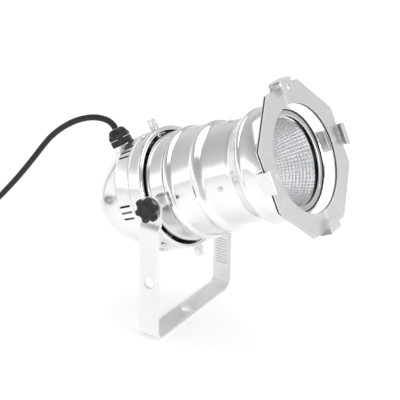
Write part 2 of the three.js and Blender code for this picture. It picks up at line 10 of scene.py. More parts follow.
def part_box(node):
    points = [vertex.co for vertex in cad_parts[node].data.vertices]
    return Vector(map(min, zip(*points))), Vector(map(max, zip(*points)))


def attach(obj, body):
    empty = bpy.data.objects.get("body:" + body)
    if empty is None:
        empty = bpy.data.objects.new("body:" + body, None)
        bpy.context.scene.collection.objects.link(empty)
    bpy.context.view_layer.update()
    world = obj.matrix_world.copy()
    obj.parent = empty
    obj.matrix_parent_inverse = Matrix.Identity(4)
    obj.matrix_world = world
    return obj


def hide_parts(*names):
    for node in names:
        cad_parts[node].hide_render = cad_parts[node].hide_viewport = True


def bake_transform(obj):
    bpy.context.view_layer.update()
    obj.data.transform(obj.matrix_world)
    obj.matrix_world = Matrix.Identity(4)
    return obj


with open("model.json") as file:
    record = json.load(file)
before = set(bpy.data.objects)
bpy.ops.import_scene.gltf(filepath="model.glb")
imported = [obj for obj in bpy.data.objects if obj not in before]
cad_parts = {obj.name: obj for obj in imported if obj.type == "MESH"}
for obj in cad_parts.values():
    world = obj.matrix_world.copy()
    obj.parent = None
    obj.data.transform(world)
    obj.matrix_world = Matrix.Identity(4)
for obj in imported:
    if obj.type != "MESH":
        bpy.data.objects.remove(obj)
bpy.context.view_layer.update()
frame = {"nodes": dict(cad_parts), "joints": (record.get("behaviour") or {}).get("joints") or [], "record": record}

# Small polished-aluminium par spot on a flat yoke, tilted nose-up, with its supply cord.
# Head pieces are made in the head's own frame, in millimetres: x along the pivots, y up across
# the beam, z along the beam. HEAD carries that frame, centred on the pivots, into the row frame.
MM = 0.001
JOINTS = {j["name"]: j for j in frame["joints"]}
PIVOT = Vector(JOINTS["head_tilt"]["pos_m"])
BEAM = Vector(JOINTS["lamp_turn"]["axis"]).normalized()
SIDE = Vector((1, 0, 0))
UP = BEAM.cross(SIDE)
HEAD = Matrix.Translation(PIVOT) @ Matrix((SIDE, UP, BEAM)).transposed().to_4x4()
ROW = Matrix.Identity(4)
NODES = frame["nodes"]


def head_box(node):
    """Lowest and highest corner of a CAD node in the head's frame, in millimetres."""
    inverse = HEAD.inverted()
    points = [(inverse @ v.co) / MM for v in NODES[node].data.vertices]
    low = Vector([min(p[i] for p in points) for i in range(3)])
    high = Vector([max(p[i] for p in points) for i in range(3)])
    return low, high


def turn(degrees, axis):
    return Matrix.Rotation(math.radians(degrees), 4, axis)


def slide(x, y, z):
    return Matrix.Translation(Vector((x, y, z)) * MM)


def radial(station, degrees):
    """Frame whose z points out of the head: 0 is the head's top, 90 its near side."""
    return HEAD @ slide(0, 0, station) @ turn(degrees, "Z") @ turn(-90, "X")


# ---- camera ------------------------------------------------------------------------------
AZIMUTH, ELEVATION, ROLL = math.radians(-58.03), math.radians(24.51), math.radians(1.08)
DISTANCE = 1.3113
LENS, SENSOR = 109.7, 36
AIM = PIVOT + Vector((0.0009, -0.0140, -0.0147))


def make_camera():
    back = Vector((math.sin(AZIMUTH) * math.cos(ELEVATION), -math.cos(AZIMUTH) * math.cos(ELEVATION),
                   math.sin(ELEVATION)))
    right = Vector((-back.y, back.x, 0)).normalized()
    up = back.cross(right)
    x_axis = right * math.cos(ROLL) + up * math.sin(ROLL)
    y_axis = up * math.cos(ROLL) - right * math.sin(ROLL)
    data = bpy.data.cameras.new("camera")
    data.sensor_width = SENSOR
    data.lens = LENS
    camera = bpy.data.objects.new("camera", data)
    turned = Matrix((x_axis, y_axis, back)).transposed().to_4x4()
    camera.matrix_world = Matrix.Translation(AIM + back * DISTANCE) @ turned
    bpy.context.scene.collection.objects.link(camera)
    bpy.context.scene.camera = camera


make_camera()


# ---- mesh helpers ------------------------------------------------------------------------
CREASE = 32  # degrees: an edge that bends more than this stays sharp in smooth shading
PINHOLE = 0.05  # mm: the smallest radius, which stands for the axis of a turned shape


def shaded(mesh, crease=CREASE):
    for polygon in mesh.polygons:
        polygon.use_smooth = True
    mesh.set_sharp_from_angle(angle=math.radians(crease))


def placed(name, mesh, matrix):
    made = bpy.data.objects.new(name, mesh)
    made.matrix_world = matrix
    bpy.context.scene.collection.objects.link(made)
    return made


def grid(name, rows, matrix=HEAD, closed=False, skip=None, sharp=CREASE):
    """Mesh from equal closed rows of points in millimetres. closed joins the last row to the
    first, and otherwise both end rows are capped. skip(i, k) leaves a face out."""
    mesh = bpy.data.meshes.new(name)
    shape = bmesh.new()
    verts = [[shape.verts.new(Vector(p) * MM) for p in row] for row in rows]
    count, width = len(rows), len(rows[0])
    for i in range(count if closed else count - 1):
        for k in range(width):
            if skip and skip(i, k):
                continue
            a, b = verts[i], verts[(i + 1) % count]
            shape.faces.new((a[k], a[(k + 1) % width], b[(k + 1) % width], b[k]))
    if not closed:
        shape.faces.new(verts[0])
        shape.faces.new(verts[-1])
    bmesh.ops.recalc_face_normals(shape, faces=shape.faces)
    shape.to_mesh(mesh)
    shape.free()
    shaded(mesh, sharp)
    return placed(name, mesh, matrix)


def circle_row(radius, z, columns):
    """One ring of a turned shape; radius is a number or a function of the angle."""
    row = []
    for k in range(columns):
        a = 2 * math.pi * k / columns
        r = radius(a) if callable(radius) else radius
        row.append((r * math.cos(a), r * math.sin(a), z))
    return row


def rounded(points, steps=4):
    """Line through (a, b, fillet) points with each corner rounded off to its fillet length."""
    line = []
    for i, (a, b, fillet) in enumerate(points):
        here = Vector((a, b))
        if i in (0, len(points) - 1) or fillet <= 0:
            line.append(here)
            continue
        before, after = (Vector(points[j][:2]) - here for j in (i - 1, i + 1))
        start = here + before.normalized() * min(fillet, 0.48 * before.length)
        end = here + after.normalized() * min(fillet, 0.48 * after.length)
        for n in range(steps + 1):
            t = n / steps
            line.append(start * (1 - t) ** 2 + here * 2 * t * (1 - t) + end * t * t)
    return line


def offset(line, distance):
    """The line moved sideways, to the left of its direction."""
    moved = []
    for i, point in enumerate(line):
        along = line[min(i + 1, len(line) - 1)] - line[max(i - 1, 0)]
        along.normalize()
        moved.append(point + Vector((-along.y, along.x)) * distance)
    return moved


def lathe(name, profile, matrix, columns, steps=4, closed=False):
    """Solid of revolution about z from (radius, z, fillet) points."""
    line = rounded(profile, steps)
    rows = [circle_row(max(p.x, PINHOLE), p.y, columns) for p in line]
    return grid(name, rows, matrix, closed=closed)


def washer_shape(name, inner, outer, z0, z1, matrix, chamfer=0.2, columns=64):
    c = chamfer
    profile = [(inner, z0 + c, 0), (inner + c, z0, 0), (outer - c, z0, 0), (outer, z0 + c, 0),
               (outer, z1 - c, 0), (outer - c, z1, 0), (inner + c, z1, 0), (inner, z1 - c, 0)]
    return lathe(name, profile, matrix, columns, closed=True)


def shell(name, line, wall, columns, slots):
    """Turned sheet: the outer line and its inner offset, open at both ends or closed at the
    axis. Each slot is (first column, last column, z from, z to) cut through the sheet."""
    inner = offset(line, wall)
    count = len(line)
    rows = [circle_row(max(p.x, PINHOLE), p.y, columns) for p in [*line, *reversed(inner)]]
    cut = set()
    for first, last, low, high in slots:
        for i in range(count - 1):
            if low <= line[i].y and line[i + 1].y <= high:
                for k in range(first, last + 1):
                    cut.add((i, k % columns))
    open_ends = line[0].x > 1
    mirror = 2 * count - 2

    def skipped(i, k):
        if i == 2 * count - 1:
            return (0, k) in cut
        return (i, k) in cut or (mirror - i, k) in cut

    made = grid(name, rows, closed=open_ends, skip=skipped)
    walls = bmesh.new()
    walls.from_mesh(made.data)
    walls.verts.ensure_lookup_table()

    def vert(i, k):
        return walls.verts[i * columns + k % columns]

    for i, k in sorted(cut):
        far = 2 * count - 1
        if (i, (k - 1) % columns) not in cut:
            walls.faces.new((vert(i, k), vert(i + 1, k), vert(far - i - 1, k), vert(far - i, k)))
        if (i, (k + 1) % columns) not in cut:
            across = vert(far - i, k + 1), vert(far - i - 1, k + 1)
            walls.faces.new((vert(i, k + 1), *across, vert(i + 1, k + 1)))
        if (i - 1, k) not in cut and i > 0:
            walls.faces.new((vert(i, k), vert(far - i, k), vert(far - i, k + 1), vert(i, k + 1)))
        if (i + 1, k) not in cut:
            j = i + 1
            walls.faces.new((vert(j, k), vert(j, k + 1), vert(far - j, k + 1), vert(far - j, k)))
    bmesh.ops.recalc_face_normals(walls, faces=walls.faces)
    walls.to_mesh(made.data)
    walls.free()
    made.data.set_sharp_from_angle(angle=math.radians(CREASE))
    return made


def bent_sheet(name, points, thickness, half, matrix, start_round=0.0, end_round=0.0, steps=5, edge=0.25):
    """Sheet-metal strip along a filleted line of (a, b, fillet) points in the y-z plane, as wide
    as half each way in x. Its ends are rounded off by start_round and end_round."""
    line = rounded(points, steps)
    lengths = [0.0]
    for p, q in zip(line, line[1:]):
        lengths.append(lengths[-1] + (q - p).length)
    total = lengths[-1]
    marks = set(lengths)
    for from_mark, to_mark in zip(lengths, lengths[1:]):
        if to_mark - from_mark > 4:
            marks.update((from_mark + 0.6, to_mark - 0.6))
    for corner, origin, sign in ((start_round, 0.0, 1), (end_round, total, -1)):
        for n in range(13 if corner else 0):
            marks.add(origin + sign * corner * (1 - math.cos(math.pi / 2 * n / 12)))
    rows = []
    for mark in sorted(marks):
        i = max(n for n in range(len(line) - 1) if lengths[n] <= mark + 1e-9)
        share = (mark - lengths[i]) / max(lengths[i + 1] - lengths[i], 1e-9)
        centre = line[i].lerp(line[i + 1], share)
        before = line[i + 1] - line[i]
        at_joint = abs(mark - lengths[i]) < 1e-9 and i > 0
        along = (before + (line[i] - line[i - 1])).normalized() if at_joint else before.normalized()
        normal = Vector((-along.y, along.x))
        width = half
        for corner, gap in ((start_round, mark), (end_round, total - mark)):
            if corner and gap < corner:
                width = min(width, half - corner + math.sqrt(max(corner ** 2 - (corner - gap) ** 2, 0)))
        width = max(width, 0.3)
        t = thickness / 2
        e = min(edge, t * 0.8, width * 0.5)
        outline = [(-width, -t + e), (-width + e, -t), (width - e, -t), (width, -t + e),
                   (width, t - e), (width - e, t), (-width + e, t), (-width, t - e)]
        rows.append([(x, centre.x + normal.x * s, centre.y + normal.y * s) for x, s in outline])
    return grid(name, rows, matrix)


def cut_out(target, *cutters):
    """Boolean cuts, applied to the target's mesh."""
    for cutter in cutters:
        modifier = target.modifiers.new("cut", "BOOLEAN")
        modifier.object = cutter
        modifier.solver = "EXACT"
    bake(target)
    for cutter in cutters:
        bpy.data.objects.remove(cutter)
    return target


def bake(target):
    """Applies the modifiers of a piece."""
    graph = bpy.context.evaluated_depsgraph_get()
    mesh = bpy.data.meshes.new_from_object(target.evaluated_get(graph))
    target.modifiers.clear()
    target.data = mesh
    shaded(mesh)


def joined(name, parts):
    """Several pieces as one, in the first one's frame."""
    mesh = bpy.data.meshes.new(name)
    shape = bmesh.new()
    matrix = parts[0].matrix_world.copy()
    for part in parts:
        start = len(shape.verts)
        shape.from_mesh(part.data)
        shape.verts.ensure_lookup_table()
        local = matrix.inverted() @ part.matrix_world
        for v in shape.verts[start:]:
            v.co = local @ v.co
        bpy.data.objects.remove(part)
    shape.to_mesh(mesh)
    shape.free()
    shaded(mesh)
    return placed(name, mesh, matrix)


# ---- materials ---------------------------------------------------------------------------
FINE, MEDIUM, COARSE = 0.00002, 0.00003, 0.00004  # depth of the surface's grain, in metres


class Look:
    """A Principled material and short ways to feed its sockets."""

    def __init__(self, name, **sockets):
        self.material = bpy.data.materials.new(name)
        self.material.use_nodes = True
        self.tree = self.material.node_tree
        self.shader = self.tree.nodes["Principled BSDF"]
        for socket, value in sockets.items():
            self.shader.inputs[socket.replace("_", " ")].default_value = value
        self.place = self.node("ShaderNodeTexCoord").outputs["Object"]

    def node(self, kind, **inputs):
        made = self.tree.nodes.new(kind)
        for socket, value in inputs.items():
            self.feed(made.inputs[socket.replace("_", " ")], value)
        return made

    def feed(self, socket, value):
        if isinstance(value, bpy.types.NodeSocket):
            self.tree.links.new(value, socket)
        else:
            socket.default_value = value

    def stretched(self, x, y, z):
        made = self.node("ShaderNodeMapping", Vector=self.place)
        made.inputs["Scale"].default_value = (x, y, z)
        return made.outputs["Vector"]

    def calc(self, operation, a, b=0.0):
        made = self.node("ShaderNodeMath")
        made.operation = operation
        self.feed(made.inputs[0], a)
        self.feed(made.inputs[1], b)
        return made.outputs[0]

    def noise(self, scale, detail=4.0, vector=None, rough=0.55):
        made = self.node("ShaderNodeTexNoise", Scale=scale, Detail=detail, Roughness=rough,
                         Vector=vector or self.place)
        return made.outputs["Fac"]

    def spread(self, value, low, high, start=0.3, end=0.7):
        made = self.node("ShaderNodeMapRange", Value=value)
        for socket, number in (("From Min", start), ("From Max", end), ("To Min", low), ("To Max", high)):
            made.inputs[socket].default_value = number
        return made.outputs["Result"]

    def mix(self, factor, a, b):
        made = self.node("ShaderNodeMix")
        made.data_type = "RGBA"
        for socket, value in ((0, factor), (6, a), (7, b)):
            self.feed(made.inputs[socket], value)
        return made.outputs[2]

    def bump(self, height, strength, distance):
        made = self.node("ShaderNodeBump", Height=height)
        made.inputs["Strength"].default_value = strength
        made.inputs["Distance"].default_value = distance
        self.feed(self.shader.inputs["Normal"], made.outputs["Normal"])

    def colour(self, value):
        self.feed(self.shader.inputs["Base Color"], value)

    def roughness(self, value):
        self.feed(self.shader.inputs["Roughness"], value)

    def edge_wear(self, low=0.52, high=0.60):
        return self.spread(self.node("ShaderNodeNewGeometry").outputs["Pointiness"], 0.0, 1.0, low, high)


def polished_look():
    """Spun aluminium, polished, with the fine rings that the buffing leaves."""
    look = Look("polished_aluminium", Metallic=1.0, Anisotropic=0.35)
    split = look.node("ShaderNodeSeparateXYZ", Vector=look.place)
    x, y, z = split.outputs[0], split.outputs[1], split.outputs[2]
    radius = look.calc("SQRT", look.calc("ADD", look.calc("MULTIPLY", x, x), look.calc("MULTIPLY", y, y)))
    rings = look.node("ShaderNodeCombineXYZ", X=look.calc("MULTIPLY", radius, 1500.0),
                      Y=look.calc("MULTIPLY", z, 1500.0), Z=look.calc("MULTIPLY", x, 4.0)).outputs[0]
    lines = look.noise(1.0, 3.0, rings)
    clouds = look.noise(28.0, 5.0)
    tone = look.mix(look.spread(clouds, 0.0, 1.0), (0.79, 0.795, 0.80, 1), (0.87, 0.875, 0.88, 1))
    look.colour(look.mix(look.spread(lines, 0.0, 0.30), tone, (0.94, 0.94, 0.945, 1)))
    look.roughness(look.calc("ADD", look.spread(lines, 0.10, 0.17), look.spread(clouds, 0.0, 0.05)))
    look.bump(lines, 0.10, FINE)
    tangent = look.node("ShaderNodeTangent")
    tangent.direction_type = "RADIAL"
    tangent.axis = "Z"
    look.feed(look.shader.inputs["Tangent"], tangent.outputs[0])
    return look.material


def satin_look(name, grain_scale, rough, tones):
    """Satin aluminium, with a grain that runs where grain_scale is smallest."""
    look = Look(name, Metallic=1.0)
    grain = look.noise(1.0, 4.0, look.stretched(*grain_scale))
    clouds = look.noise(22.0, 5.0)
    dark = tones[0]
    deep, pale = ((value, value, value * 1.01, 1) for value in tones)
    tone = look.mix(look.spread(grain, 0.0, 1.0), deep, pale)
    tone = look.mix(look.spread(clouds, 0.0, 0.35), tone, (dark * 0.95, dark * 0.95, dark * 0.96, 1))
    look.colour(look.mix(look.edge_wear(), tone, (0.95, 0.95, 0.96, 1)))
    look.roughness(look.calc("ADD", look.spread(grain, *rough), look.spread(clouds, 0.0, 0.06)))
    look.bump(grain, 0.25, MEDIUM)
    return look.material


def zinc_look():
    look = Look("zinc_steel", Metallic=1.0)
    clouds = look.noise(120.0, 5.0)
    fine = look.noise(1400.0, 2.0)
    tone = look.mix(look.spread(clouds, 0.0, 1.0), (0.66, 0.67, 0.69, 1), (0.82, 0.83, 0.84, 1))
    look.colour(look.mix(look.edge_wear(), tone, (0.92, 0.92, 0.93, 1)))
    look.roughness(look.calc("ADD", look.spread(fine, 0.22, 0.30), look.spread(clouds, 0.0, 0.10)))
    look.bump(fine, 0.15, FINE)
    return look.material


def plastic_look(name, dark, light, rough, grain_scale, depth, edge=0.06):
    """Moulded plastic or rubber with a fine tooth and paler worn edges."""
    look = Look(name, Specular_IOR_Level=0.35)
    grain = look.noise(grain_scale, 3.0)
    clouds = look.noise(60.0, 5.0)
    tone = look.mix(look.spread(clouds, 0.0, 1.0), (*dark, 1), (*light, 1))
    worn = tuple(min(c + edge, 1) for c in light)
    look.colour(look.mix(look.edge_wear(0.53, 0.62), tone, (*worn, 1)))
    look.roughness(look.calc("ADD", look.spread(grain, *rough), look.spread(clouds, 0.0, 0.08)))
    look.bump(grain, 0.35, depth)
    return look.material


def brass_look():
    look = Look("brass", Metallic=1.0)
    clouds = look.noise(90.0, 5.0)
    fine = look.noise(1.0, 3.0, look.stretched(400, 400, 2500))
    look.colour(look.mix(look.spread(clouds, 0.0, 1.0), (0.62, 0.46, 0.20, 1), (0.80, 0.64, 0.34, 1)))
    look.roughness(look.spread(fine, 0.20, 0.38))
    look.bump(fine, 0.2, FINE)
    return look.material


def facet_look():
    """Vacuum-metallised facets of the lamp's bowl."""
    look = Look("lamp_mirror", Metallic=1.0)
    clouds = look.noise(160.0, 4.0)
    look.colour(look.mix(look.spread(clouds, 0.0, 1.0), (0.84, 0.85, 0.86, 1), (0.96, 0.965, 0.97, 1)))
    look.roughness(look.spread(clouds, 0.05, 0.12))
    look.bump(look.noise(700.0, 3.0), 0.2, COARSE)
    return look.material


def glass_look():
    look = Look("lamp_glass", IOR=1.30, Transmission_Weight=1.0)
    clouds = look.noise(70.0, 4.0)
    look.colour(look.mix(look.spread(clouds, 0.0, 1.0), (0.97, 0.98, 0.985, 1), (1.0, 1.0, 1.0, 1)))
    look.roughness(look.spread(clouds, 0.0, 0.008))
    look.bump(look.noise(160.0, 2.0), 0.05, FINE)
    return look.material


def label_look():
    """White printed film with a few plain ruled bars and no wording."""
    look = Look("label_film", Coat_Weight=0.25, Coat_Roughness=0.2)
    low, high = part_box("rating_label")
    middle, half = (low + high) / 2, (high - low) / 2
    split = look.node("ShaderNodeSeparateXYZ", Vector=look.place)
    across = look.calc("ABSOLUTE", look.calc("SUBTRACT", split.outputs[1], middle.y))
    up = look.calc("SUBTRACT", split.outputs[2], low.z)
    inside = look.calc("LESS_THAN", across, half.y * 0.78)
    stripes = look.calc("GREATER_THAN", look.calc("SINE", look.calc("MULTIPLY", up, 1900.0)), 0.35)
    band = look.calc("LESS_THAN", look.calc("ABSOLUTE", look.calc("SUBTRACT", up, half.z)), half.z * 0.72)
    printed = look.calc("MULTIPLY", look.calc("MULTIPLY", inside, stripes), band)
    paper = look.mix(look.spread(look.noise(40.0), 0.0, 1.0), (0.84, 0.84, 0.83, 1), (0.90, 0.90, 0.89, 1))
    look.colour(look.mix(look.calc("MULTIPLY", printed, 0.55), paper, (0.30, 0.31, 0.32, 1)))
    look.roughness(look.spread(look.noise(300.0), 0.35, 0.48))
    look.bump(look.noise(900.0), 0.1, FINE)
    return look.material


def floor_look():
    look = Look("studio_floor", Emission_Color=(1, 1, 1, 1), Emission_Strength=0.20)
    shade = look.spread(look.noise(6.0), 0.0, 1.0)
    look.colour(look.mix(shade, (0.93, 0.93, 0.93, 1), (0.95, 0.95, 0.95, 1)))
    look.roughness(look.spread(look.noise(300.0), 0.7, 0.85))
    return look.material


POLISHED = polished_look()
YOKE_METAL = satin_look("satin_strip", (60, 2600, 60), rough=(0.44, 0.56), tones=(0.76, 0.83))
SHEET_METAL = satin_look("satin_sheet", (90, 2400, 2400), rough=(0.28, 0.40), tones=(0.66, 0.75))
RING_METAL = satin_look("satin_ring", (1500, 1500, 60), rough=(0.40, 0.50), tones=(0.62, 0.70))
TURNED_METAL = satin_look("turned_aluminium", (1200, 1200, 1200), rough=(0.24, 0.34), tones=(0.80, 0.88))
ZINC = zinc_look()
BLACK_PLASTIC = plastic_look(
    "black_plastic", (0.012, 0.012, 0.013), (0.020, 0.020, 0.022), (0.34, 0.46), 2200, COARSE)
RUBBER = plastic_look(
    "black_rubber", (0.009, 0.009, 0.010), (0.016, 0.016, 0.018), (0.40, 0.52), 1500, MEDIUM, 0.02)
BRASS = brass_look()
STEATITE = plastic_look("steatite", (0.80, 0.77, 0.70), (0.88, 0.86, 0.80), (0.22, 0.32), 900, MEDIUM)
BROWN = plastic_look("wire_brown", (0.08, 0.03, 0.015), (0.12, 0.05, 0.025), (0.35, 0.45), 1500, FINE)
BLUE = plastic_look("wire_blue", (0.015, 0.06, 0.24), (0.03, 0.10, 0.32), (0.35, 0.45), 1500, FINE)
GREEN = plastic_look("wire_green", (0.08, 0.26, 0.03), (0.34, 0.40, 0.03), (0.35, 0.45), 1500, FINE)
FACETS = facet_look()
GLASS = glass_look()
LABEL = label_look()


def finished(piece, body, look, slot, *stands_for):
    """Gives a piece its material and body, and hides the CAD nodes that it stands for. slot is not used."""
    piece.data.materials.clear()
    piece.data.materials.append(look)
    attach(piece, body)
    if stands_for:
        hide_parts(*stands_for)
    return piece


# ---- supply cord -------------------------------------------------------------------------
CORD_R = 3.5
GLAND_R, GLAND_S, GLAND_LEAN, GLAND_HEIGHT = 60.9, -67, math.radians(9), 19
GLAND = HEAD @ slide(0, GLAND_R, GLAND_S) @ Matrix.Rotation(-math.pi / 2 - GLAND_LEAN, 4, "X")
COIL_CENTRE = Vector((-0.038, 0.378, 0))
COIL_R = 0.0377
COIL_TURNS = 2.25
ROUTE = [
    (0, 0.1065, 0.2054), (0, 0.117, 0.2062), (0, 0.129, 0.2044), (0, 0.141, 0.2004), (0, 0.153, 0.1948),
    (0, 0.165, 0.1874), (0, 0.177, 0.1784), (0, 0.189, 0.1674), (0, 0.200, 0.1548), (0, 0.211, 0.141),
    (0, 0.224, 0.125), (0, 0.240, 0.106), (0, 0.258, 0.086), (0, 0.278, 0.065), (0, 0.299, 0.045),
    (0, 0.318, 0.029), (0, 0.335, 0.0165), (0, 0.350, 0.008), (0, 0.363, 0.0044), (-0.0001, 0.3735, 0.0035),
]
TAIL = [(-0.052, 0.416, 0.0178), (-0.070, 0.416, 0.0178), (-0.088, 0.416, 0.0182), (-0.0985, 0.416, 0.0191),
        (-0.1068, 0.416, 0.0195)]


def smooth_path(points, steps=5):
    """Centripetal Catmull-Rom curve through the points."""
    points = [Vector(p) for p in points]
    ends = [points[0] * 2 - points[1], *points, points[-1] * 2 - points[-2]]
    line = []
    for p0, p1, p2, p3 in zip(ends, ends[1:], ends[2:], ends[3:]):
        t0, t1 = 0.0, math.sqrt((p1 - p0).length)
        t2 = t1 + math.sqrt((p2 - p1).length)
        t3 = t2 + math.sqrt((p3 - p2).length)
        for n in range(steps):
            t = t1 + (t2 - t1) * n / steps
            a1 = p0.lerp(p1, (t - t0) / (t1 - t0))
            a2 = p1.lerp(p2, (t - t1) / (t2 - t1))
            a3 = p2.lerp(p3, (t - t2) / (t3 - t2))
            b1 = a1.lerp(a2, (t - t0) / (t2 - t0))
            b2 = a2.lerp(a3, (t - t1) / (t3 - t1))
            line.append(b1.lerp(b2, (t - t1) / (t2 - t1)))
    return [*line, points[-1]]


def coil_points():
    """Turns laid on each other, each rising a cord's thickness before it meets the last."""
    turns = []
    count = int(COIL_TURNS * 24)
    for n in range(1, count + 1):
        degrees = n * COIL_TURNS * 360 / count
        layer, rest = divmod(degrees, 360)
        rise = min(max((rest - 235) / 95, 0), 1)
        rise = rise * rise * (3 - 2 * rise)
        height = CORD_R * MM * (1 + 2 * (layer + rise))
        a = math.radians(degrees)
        turns.append(COIL_CENTRE + Vector((COIL_R * math.cos(a), COIL_R * math.sin(a), height)))
    return turns


def tube(name, path, radius, sides=20):
    """Round tube along a path in metres; radius may be a function of the distance along it."""
    rows = []
    side = None
    travelled = 0.0
    for i, point in enumerate(path):
        along = (path[min(i + 1, len(path) - 1)] - path[max(i - 1, 0)]).normalized()
        side = Vector((1, 0, 0)) if side is None else side
        side = (side - along * side.dot(along)).normalized()
        other = along.cross(side)
        if i:
            travelled += (point - path[i - 1]).length
        r = radius(travelled) if callable(radius) else radius
        ring = []
        for k in range(sides):
            a = 2 * math.pi * k / sides
            ring.append((point + (side * math.cos(a) + other * math.sin(a)) * r) / MM)
        rows.append(ring)
    return grid(name, rows, ROW, sharp=50)


def make_cord():
    exit_point = GLAND @ (Vector((0, 0, GLAND_HEIGHT + 0.3)) * MM)
    lead = GLAND @ (Vector((0, 0, GLAND_HEIGHT + 4.3)) * MM)
    path = smooth_path([exit_point, lead, *ROUTE, *coil_points(), *TAIL])
    cord = tube("supply_cord", path, CORD_R * MM)
    cord.data.materials.append(RUBBER)
    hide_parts("cord", "cord_coil", "cord_tail")
    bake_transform(cord)


PLUG_AT = Matrix.Translation(Vector((-0.107, 0.416, 0.0195))) @ turn(-90, "Y")


def make_plug():
    """Round moulded plug: ribbed strain relief, waisted grip and a flat face with two pins."""
    profile = [(0.05, 0, 0), (4.6, 0, 0.5)]
    for n in range(4):
        z = 2.5 + n * 3
        profile += [(5.2 + n * 0.25, z, 0.3), (5.2 + n * 0.25, z + 1.4, 0.3), (4.4 + n * 0.3, z + 1.9, 0.2),
                    (4.4 + n * 0.3, z + 2.6, 0.2)]
    profile += [(7.2, 15, 1), (10, 20, 4), (18.6, 32, 4), (19, 36, 1), (19, 49.6, 0.8), (18.2, 50.4, 0.4),
                (15.4, 50.4, 0.3), (15.2, 51.9, 0.3), (0.05, 51.9, 0)]
    shell_piece = lathe("plug_shell", profile, PLUG_AT, 72, 3)
    grip = []
    for side in (-1, 1):
        for n in range(5):
            z = 36.5 + n * 2.7
            rib = [(side * 18.2, -6, z), (side * 18.85, 0, z), (side * 18.2, 6, z)]
            grip.append(tube_local(rib, 0.55, PLUG_AT))
    made = joined("plug_shell", [shell_piece, *grip])
    finished(made, "yoke", RUBBER, "black_rubber", "plug_body")
    for name in ("plug_pin_a", "plug_pin_b"):
        NODES[name].data.materials.clear()
        NODES[name].data.materials.append(BRASS)


def tube_local(points, radius, matrix, sides=10):
    rows = []
    for i, p in enumerate(points):
        along = (Vector(points[min(i + 1, len(points) - 1)]) - Vector(points[max(i - 1, 0)])).normalized()
        side = Vector((0, 0, 1))
        other = along.cross(side)
        rows.append([Vector(p) + (side * math.cos(a) + other * math.sin(a)) * radius
                     for a in (2 * math.pi * k / sides for k in range(sides))])
    return grid("rib", rows, matrix)


make_plug()
make_cord()


# ---- yoke --------------------------------------------------------------------------------
def make_yoke():
    low, high = (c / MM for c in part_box("yoke"))
    thickness, width = 3.0, high.y - low.y
    out = high.x - thickness / 2
    pivot = PIVOT.z / MM
    joggle = 5.0
    near = [(-out + joggle, high.z, 0), (-out + joggle, pivot - 18, 2.5), (-out, pivot - 24, 2.5),
            (-out, thickness / 2, 12), (0, thickness / 2, 0)]
    far = [(-x, z, f) for x, z, f in reversed(near[:-1])]
    half = width / 2
    facing = turn(-90, "Z")  # the strip's line runs in x and z, its width along y
    yoke = bent_sheet("yoke_strip", near + far, thickness, half, facing, half, half, 8, 0.45)
    hole = [(0.05, -1, 0), (7.6, -1, 0), (6.25, 0.35, 0), (6.25, 2.65, 0), (7.6, 4, 0), (0.05, 4, 0)]
    bar_cut = lathe("bar_cut", hole, ROW, 64)
    leg_cut = lathe("leg_cut", hole, slide(low.x, 0, 69) @ turn(90, "Y"), 64)
    stud = [(0.05, -90, 0), (3.3, -90, 0), (3.3, 90, 0), (0.05, 90, 0)]
    stud_cut = lathe("stud_cut", stud, slide(0, 0, pivot) @ turn(90, "Y"), 48)
    yoke.data.transform(facing)
    yoke.matrix_world = ROW
    bpy.context.view_layer.update()
    cut_out(yoke, bar_cut, leg_cut, stud_cut)
    finished(yoke, "yoke", YOKE_METAL, "satin_aluminium", "yoke")


def make_label():
    low, high = (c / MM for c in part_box("rating_label"))
    corner = 1.5
    rows = []
    for x, inset in ((high.x, 0), (low.x + 0.1, 0), (low.x, 0.15)):
        row = []
        corners = ((high.y, high.z, 0), (low.y, high.z, 90), (low.y, low.z, 180), (high.y, low.z, 270))
        for cy, cz, start in corners:
            for n in range(6):
                a = math.radians(start + 18 * n)
                ay = cy - math.copysign(corner, cy - (low.y + high.y) / 2)
                az = cz - math.copysign(corner, cz - (low.z + high.z) / 2)
                row.append((x, ay + (corner - inset) * math.cos(a), az + (corner - inset) * math.sin(a)))
        rows.append(row)
    finished(grid("rating_film", rows, ROW), "yoke", LABEL, "label_film", "rating_label")


make_yoke()
make_label()


# ---- barrel ------------------------------------------------------------------------------
WALL = 1.2
SHELL_COLUMNS = 180  # two degrees each
BARREL_LINE = [
    (60, -25, 0), (60, -14, 0), (60, 13.2, 1.5), (61.8, 16.8, 1.8), (61.8, 21.6, 1.8),
    (59.3, 24.6, 1.4), (59.3, 50, 1.2), (60, 52.4, 1.2), (60, 56.6, 2.0), (55.6, 61.6, 2.4),
    (55.2, 93, 2.0), (54.7, 96.6, 2.0), (60.2, 108.6, 2.4), (61.5, 110.6, 1.2), (61.5, 113.2, 1.2),
    (60.6, 114.8, 0.9), (60.6, 125.5, 5), (58.4, 134.4, 5), (53.8, 139.6, 0),
]


def make_barrel():
    # Notches at the rear edge that the thumb screws slide into, at the top and the bottom.
    notches = [(middle - 2, middle + 1, -25.1, -13.9) for middle in (45, 135)]
    barrel = shell("barrel_shell", rounded(BARREL_LINE, 5), WALL, SHELL_COLUMNS, notches)
    finished(barrel, "barrel", POLISHED, "polished_aluminium", "barrel")


def make_inner_rings():
    low, high = head_box("lamp_guide_ring")
    profile = [(52.4, low.z, 0), (53.4, low.z, 0), (53.4, high.z, 0), (52.4, high.z, 0)]
    guide = lathe("guide_ring", profile, HEAD, 120, closed=True)
    finished(guide, "barrel", SHEET_METAL, "satin_aluminium", "lamp_guide_ring")
    z = head_box("lamp_retaining_ring")[0].z
    profile = [(46.6, z, 0), (52.2, z, 0), (52.2, z + 1.5, 0.3), (47.6, z + 1.9, 0.4), (46.6, z + 1.3, 0.3)]
    ring = lathe("retaining_ring", profile, HEAD, 120, closed=True)
    finished(ring, "barrel", RING_METAL, "satin_aluminium", "lamp_retaining_ring")


